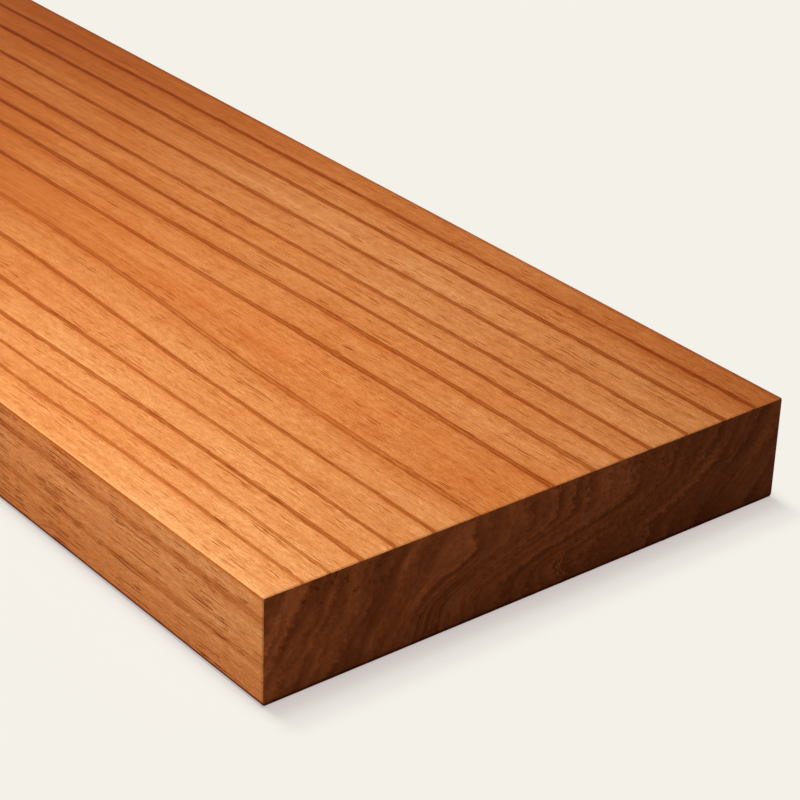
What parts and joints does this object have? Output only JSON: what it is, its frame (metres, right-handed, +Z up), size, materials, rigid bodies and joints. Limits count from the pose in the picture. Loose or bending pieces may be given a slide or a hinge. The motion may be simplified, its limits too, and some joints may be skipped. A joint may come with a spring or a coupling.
{
  "type": "wooden board",
  "caption": "Flat planed hardwood board with straight grain, square sawn ends and lightly eased arrises, used as shelf, trim, lining or decking stock.",
  "frame": {"origin": "middle of the underside, on the surface that the board lies on", "axes": "+X along the grain and the length, +Y across the width, +Z up through the thickness"},
  "size_m": [0.9, 0.14, 0.025],
  "materials": {
    "oiled_hardwood": "satin oil over planed grain"
  },
  "bodies": {
    "root": {"board": "oiled_hardwood"}
  },
  "joints": []
}
